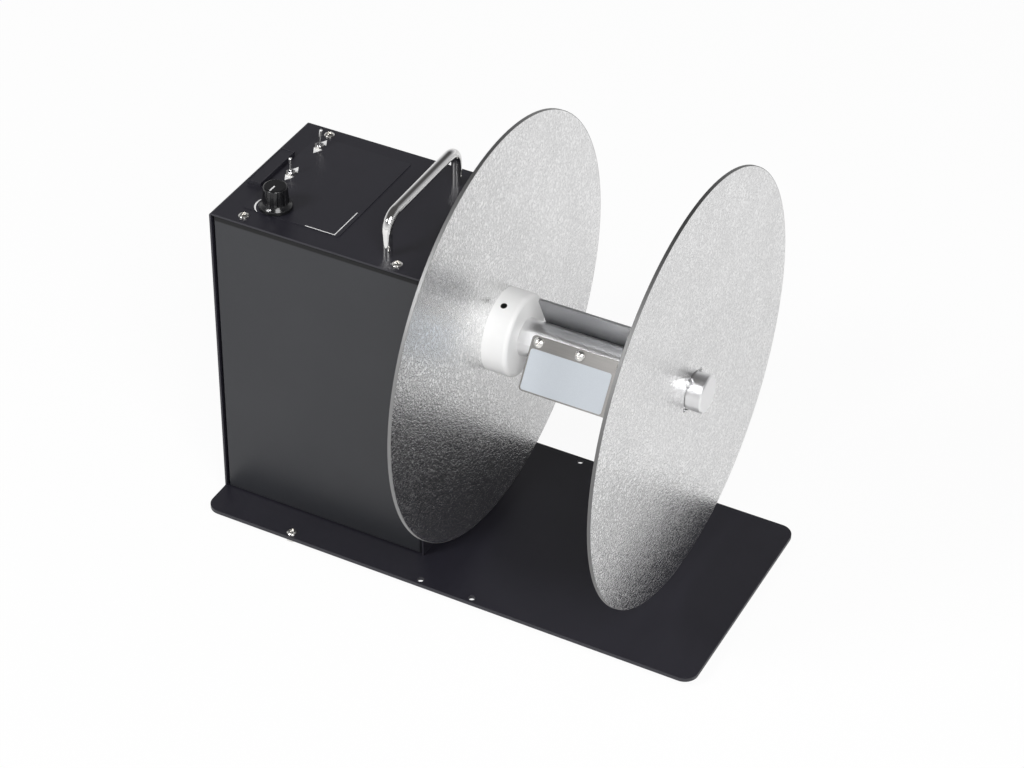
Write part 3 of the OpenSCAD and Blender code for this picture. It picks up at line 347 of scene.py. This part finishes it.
FINISHES = {finish.name: finish for finish in (
    powder_coat("powder_black", (0.0129, 0.0122, 0.0180), (0.0171, 0.0162, 0.0232), 0.42),
    # The front panel's top band, under the cover's edge, gets painted shade
    powder_coat("panel_black", (0.0141, 0.0150, 0.0184), (0.0188, 0.0199, 0.0237), 0.40,
                shade_above=top_of("front_panel") - PANEL_SHADE_BAND),
    powder_coat("motor_black", (0.03, 0.03, 0.034), (0.05, 0.05, 0.055), 0.45),
    # Each flange's rim is darkened with painted shade, in its own tone
    embossed_aluminium("embossed_aluminium", rim_shade_tone=0.27, grain_depth=0.000145),
    embossed_aluminium("outer_aluminium", rim_shade_tone=0.19, grain_depth=0.00018,
                       bore=radius_of("spindle_shaft") + BORE_SHADE_REACH),
    brushed_steel("bright_steel", (0.83, 0.83, 0.835), (0.93, 0.93, 0.935), 0.33, line=0.006, depth=0.000001),
    # The fins are one steel in two painted tones for the way light falls on them: painted shade on the others, painted
    # light on the third
    brushed_steel("fin_steel", (0.21, 0.204, 0.197), (0.33, 0.32, 0.309), 0.46),
    brushed_steel("fin_steel_painted_lighter", (0.29, 0.293, 0.30), (0.47, 0.474, 0.485), 0.46),
    brushed_steel("frame_steel", (0.42, 0.43, 0.44), (0.56, 0.57, 0.58), 0.38),
    plated_steel("screw_steel", (0.68, 0.668, 0.645), (0.82, 0.808, 0.785), 0.25),
    plated_steel("dark_steel", (0.018, 0.018, 0.02), (0.04, 0.04, 0.043), 0.5),
    plated_steel("chrome", (0.78, 0.775, 0.77), (0.86, 0.855, 0.85), 0.07),
    plated_steel("switch_metal", (0.56, 0.56, 0.58), (0.70, 0.70, 0.72), 0.28),
    turned_metal("housing_aluminium", (0.52, 0.53, 0.54), (0.66, 0.67, 0.68), 0.34),
    turned_metal("bearing_steel", (0.62, 0.62, 0.63), (0.78, 0.78, 0.79), 0.18),
    turned_metal("brass", (0.60, 0.45, 0.18), (0.76, 0.60, 0.28), 0.26),
    # The collar's set-screw hole gets painted shade on its wall
    moulded_plastic("white_plastic", (0.84, 0.84, 0.835), (0.88, 0.88, 0.875), 0.38,
                    hole=(middle_of("collar_set_screw"), COLLAR_HOLE_R, radius_of("flange_collar") / MM)),
    moulded_plastic("black_plastic", (0.0045, 0.0045, 0.0055), (0.008, 0.008, 0.009), 0.17),
    moulded_plastic("overlay_black", (0.0146, 0.0140, 0.0197), (0.0193, 0.0186, 0.0253), 0.38, grain=0.0007),
    moulded_plastic("rubber", grey(0.012), grey(0.022), 0.8, grain=0.0008, depth=0.00008, specular=0.2),
    moulded_plastic("gear_nylon", (0.70, 0.67, 0.55), (0.80, 0.77, 0.66), 0.5),
    moulded_plastic("board_green", (0.02, 0.12, 0.05), (0.04, 0.19, 0.09), 0.35),
    moulded_plastic("component_plastic", (0.04, 0.05, 0.07), (0.09, 0.10, 0.13), 0.45),
    moulded_plastic("wire_insulation", (0.16, 0.03, 0.03), (0.24, 0.05, 0.05), 0.5),
)}
WHITE_INK = printed("white_ink", grey(0.86))
LABEL_FILM = printed("label_film", (0.635, 0.68, 0.73))

# Pieces that are lighter or darker than the others of their slot. The third fin's steel is painted lighter for the way
# light falls on it, and the outer flange's aluminium has its own painted-shade rim tone and painted shade around its
# bore.
OWN_FINISH = {"ball_plunger": "switch_metal", "outer_flange": "outer_aluminium", "core_fin_3": "fin_steel_painted_lighter"}

for row in frame["record"]["subparts"]:
    finish = FINISHES[OWN_FINISH.get(row["node"], row["material_slot"])]
    materials = nodes[row["node"]].data.materials
    materials.clear()
    materials.append(finish.material)


# Small edge rounds that the cut solids leave out, in millimetres

WELD_GAP = 0.004
FLAT_WITHIN = math.radians(0.4)


def ease(node, width, steps=2, sharp=38):
    """Rounds a node's edges that are sharper than an angle in degrees."""
    modifiers = nodes[node].modifiers
    weld = modifiers.new("weld", "WELD")
    weld.merge_threshold = WELD_GAP * MM
    flat = modifiers.new("flat", "DECIMATE")
    flat.decimate_type = "DISSOLVE"
    flat.angle_limit = FLAT_WITHIN
    edge = modifiers.new("edge", "BEVEL")
    edge.width = width * MM
    edge.segments = steps
    edge.limit_method = "ANGLE"
    edge.angle_limit = math.radians(sharp)
    edge.use_clamp_overlap = True
    level = modifiers.new("level", "WEIGHTED_NORMAL")
    level.keep_sharp = True


EDGE_ROUNDS = {
    "base_plate": 0.5, "housing_cover": 0.45, "front_panel": 0.3, "rear_panel": 0.3, "inner_flange": 0.25,
    "outer_flange": 0.25, "core_fin_1": 0.25, "core_fin_2": 0.25, "core_fin_3": 0.25, "name_plate": 0.3,
    "torque_knob": 0.3,
}
for node, width in EDGE_ROUNDS.items():
    ease(node, width)
ease("flange_collar", 1.6, steps=4)
ease("spindle_shaft", 0.2, sharp=12)


# Printed marks and the bare label, built in millimetres

DRAWN_IN = 0.995


def slab(name, outlines, low_z, high_z, place, finish, body):
    """Thin solid from closed outlines, its upper edge slightly drawn in, put in place by a matrix."""
    shape = bmesh.new()
    for outline in outlines:
        middle = sum((Vector(p) for p in outline), Vector((0, 0))) / len(outline)
        inset = [middle + (Vector(p) - middle) * DRAWN_IN for p in outline]
        low = [shape.verts.new((p[0], p[1], low_z)) for p in outline]
        high = [shape.verts.new((p[0], p[1], high_z)) for p in inset]
        shape.faces.new(high)
        shape.faces.new(list(reversed(low)))
        for i in range(len(outline)):
            j = (i + 1) % len(outline)
            shape.faces.new((low[i], low[j], high[j], high[i]))
    bmesh.ops.recalc_face_normals(shape, faces=shape.faces)
    shape.transform(Matrix.Scale(MM, 4) @ place)
    mesh = bpy.data.meshes.new(name)
    shape.to_mesh(mesh)
    shape.free()
    mesh.materials.append(finish.material)
    piece = bpy.data.objects.new(name, mesh)
    scene.collection.objects.link(piece)
    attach(piece, body)


def arc(centre_x, centre_y, radius, start, sweep, steps):
    """Points on an arc, from an angle and through a sweep in degrees."""
    angles = [math.radians(start + sweep * k / steps) for k in range(steps + 1)]
    return [(centre_x + radius * math.cos(a), centre_y + radius * math.sin(a)) for a in angles]


def rounded(x0, y0, x1, y1, r, steps=6):
    """Rectangle with round corners, anticlockwise."""
    corners = ((x1 - r, y1 - r, 0), (x0 + r, y1 - r, 90), (x0 + r, y0 + r, 180), (x1 - r, y0 + r, 270))
    return [point for x, y, start in corners for point in arc(x, y, r, start, 90, steps)]


INK_LOW, INK_HIGH = 0.01, 0.05


def ink(name, outlines, top, body):
    """White print on a level face at a height in metres."""
    slab(name, outlines, INK_LOW, INK_HIGH, Matrix.Translation((0, 0, top / MM)), WHITE_INK, body)


# Each switch has a small triangle before and behind it, pointing the way that its lever throws
arrows = []
for switch in ("direction_switch", "torque_switch"):
    centre = middle_of(switch)
    for side, near, far, half in ((-1, 2.0, 8.9, 3.6), (1, 4.3, 11.2, 3.4)):
        arrows.append([
            (centre.x - half * side, centre.y + near * side), (centre.x + half * side, centre.y + near * side),
            (centre.x, centre.y + far * side)])
ink("throw_arrows", arrows, top_of("control_overlay"), "base")


def crescent(centre, radius=14.6, thinnest=0.12, swell=1.25, start=159, sweep=73, steps=32):
    """Arc that swells from a thin end to its full width and back."""
    inner, outer = [], []
    for k in range(steps + 1):
        a = math.radians(start + sweep * k / steps)
        wide = thinnest + swell * math.sin(math.pi * k / steps) ** 0.8
        for side, r in ((inner, radius), (outer, radius + wide)):
            side.append((centre.x + r * math.cos(a), centre.y + r * math.sin(a)))
    return inner + outer[::-1]


knob = middle_of("torque_knob")
ink("torque_wedge", [crescent(knob)], top_of("control_overlay"), "base")

# The overlay's corner line runs along the front and then back, a little out of square
LINE_HALF = 0.35
start_x, front_y, corner_x, end_x, end_y = -135.8, -47.6, -111.3, -110.9, -15.5
outside, inside = (corner_x + LINE_HALF, front_y - LINE_HALF), (corner_x - LINE_HALF, front_y + LINE_HALF)
front_run = [(start_x, front_y - LINE_HALF), outside, inside, (start_x, front_y + LINE_HALF)]
side_run = [outside, (end_x + LINE_HALF, end_y), (end_x - LINE_HALF, end_y), inside]
ink("corner_line", [front_run, side_run], top_of("control_overlay"), "base")

POINTER_HALF, POINTER_TIP, POINTER_ROOT, POINTER_ROUND = 0.55, 7.4, 0.6, 0.5
pointer = rounded(knob.x - POINTER_HALF, knob.y - POINTER_TIP, knob.x + POINTER_HALF, knob.y - POINTER_ROOT,
                  POINTER_ROUND)
ink("knob_pointer", [pointer], top_of("torque_knob"), "knob")

DOT_TURN, DOT_TILT = math.radians(-81), math.radians(49.4)
DOT_REACH, DOT_RISE, DOT_R, DOT_SIDES = 11.0, 3.65, 0.62, 20
on_skirt = (Matrix.Translation((knob.x, knob.y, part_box("torque_knob")[0].z / MM)) @ Matrix.Rotation(DOT_TURN, 4, "Z")
            @ Matrix.Translation((DOT_REACH, 0, DOT_RISE)) @ Matrix.Rotation(DOT_TILT, 4, "Y"))
dot = arc(0, 0, DOT_R, 0, 360, DOT_SIDES)[:-1]
slab("knob_dot", [dot], 0.02, 0.07, on_skirt, WHITE_INK, "knob")

# The front fin stands out from the spindle at this turn, with its face this far from the axis
FIN_TURN, FIN_FACE = math.radians(146), 15.1
LABEL_GAP, LABEL_TOP, LABEL_ROUND = 0.01, 0.16, 2
label = rounded(31.0, 5.2, 95.6, 35.9, LABEL_ROUND)
fin_out = Vector((0, math.cos(FIN_TURN), math.sin(FIN_TURN)))
fin_along = Vector((0, -math.sin(FIN_TURN), math.cos(FIN_TURN)))
on_fin = Matrix.Translation((0, 0, axis_z)) @ Matrix((
    (1, 0, 0, 0), (0, fin_along.y, fin_out.y, 0), (0, fin_along.z, fin_out.z, 0), (0, 0, 0, 1)))
slab("fin_label", [label], FIN_FACE + LABEL_GAP, FIN_FACE + LABEL_TOP, on_fin, LABEL_FILM, "spindle")


# Studio

PAPER = grey(0.90)
GLOW_TO_CAMERA, GLOW_TO_METAL = 0.94, 0.5
FLOOR_R, FLOOR_SIDES, FLOOR_DROP = 14, 96, 0.0001


def floor_paper():
    """White paper that keeps the object's shadow and shows as the white background, in metal too."""
    f = Finish("floor_paper", Roughness=1.0, Specular_IOR_Level=0.0, Base_Color=PAPER)
    seen, mirrored, passed = (
        f.node("ShaderNodeLightPath", output=f"Is {ray} Ray") for ray in ("Camera", "Glossy", "Transmission"))
    glow = f.node("ShaderNodeEmission", {}, {"Color": grey(1), "Strength": 1.0})
    paper = f.node("ShaderNodeMixShader", {}, {
        0: seen * GLOW_TO_CAMERA + (mirrored + passed) * GLOW_TO_METAL, 1: Wire(f, f.shader.outputs[0]), 2: glow})
    f.feed(f.tree.nodes["Material Output"].inputs["Surface"], paper)
    return f


disc = bmesh.new()
bmesh.ops.create_circle(disc, cap_ends=True, segments=FLOOR_SIDES, radius=FLOOR_R)
floor_mesh = bpy.data.meshes.new("floor")
disc.to_mesh(floor_mesh)
disc.free()
floor_mesh.materials.append(floor_paper().material)
floor = bpy.data.objects.new("floor", floor_mesh)
floor.location.z = -FLOOR_DROP
scene.collection.objects.link(floor)

# The sky is pale at the horizon and dark overhead
SKY = ((0.02, grey(0.95)), (0.47, (0.33, 0.33, 0.34)), (0.64, (0.085, 0.083, 0.082)))
world = bpy.data.worlds.new("studio")
world.use_nodes = True
scene.world = world
sky = Nodes(world.node_tree)
sky_tone = sky.node("ShaderNodeValToRGB", {"stops": SKY}, {0: sky.axis(2, "Generated")})
sky.feed(world.node_tree.nodes["Background"].inputs["Color"], sky_tone)

AIM = Vector((0, 0, 0.15))


def softbox(name, place, side, power):
    """Square lamp of a side in metres, turned to the object."""
    lamp = bpy.data.lights.new(name, "AREA")
    lamp.shape = "RECTANGLE"
    lamp.size = lamp.size_y = side
    lamp.energy = power
    box = bpy.data.objects.new(name, lamp)
    box.location = place
    box.rotation_euler = (AIM - Vector(place)).to_track_quat("-Z", "Y").to_euler()
    box.visible_camera = False
    scene.collection.objects.link(box)


softbox("left_box", (-1.75, -2.45, 2.75), 1.1, 79)
softbox("right_box", (1.7, -1.9, 2.5), 1.6, 81)

# The camera stands to the right of the front, looks down and is rolled a little
EYE_PLACE = (0.75095, -1.47327, 1.41772)
AZIMUTH, ELEVATION, ROLL = math.radians(26.75), math.radians(37.726), math.radians(1.071)
eye = bpy.data.cameras.new("eye")
eye.lens = 99.78
eye.sensor_width = 36
eye.clip_end = 60
camera = bpy.data.objects.new("eye", eye)
back = Vector((
    math.sin(AZIMUTH) * math.cos(ELEVATION), -math.cos(AZIMUTH) * math.cos(ELEVATION), math.sin(ELEVATION)))
level = Vector((math.cos(AZIMUTH), math.sin(AZIMUTH), 0))
right = level * math.cos(ROLL) + back.cross(level) * math.sin(ROLL)
camera.matrix_world = Matrix.Translation(EYE_PLACE) @ Matrix((right, back.cross(right), back)).transposed().to_4x4()
scene.collection.objects.link(camera)
scene.camera = camera

scene.view_settings.view_transform = "Standard"
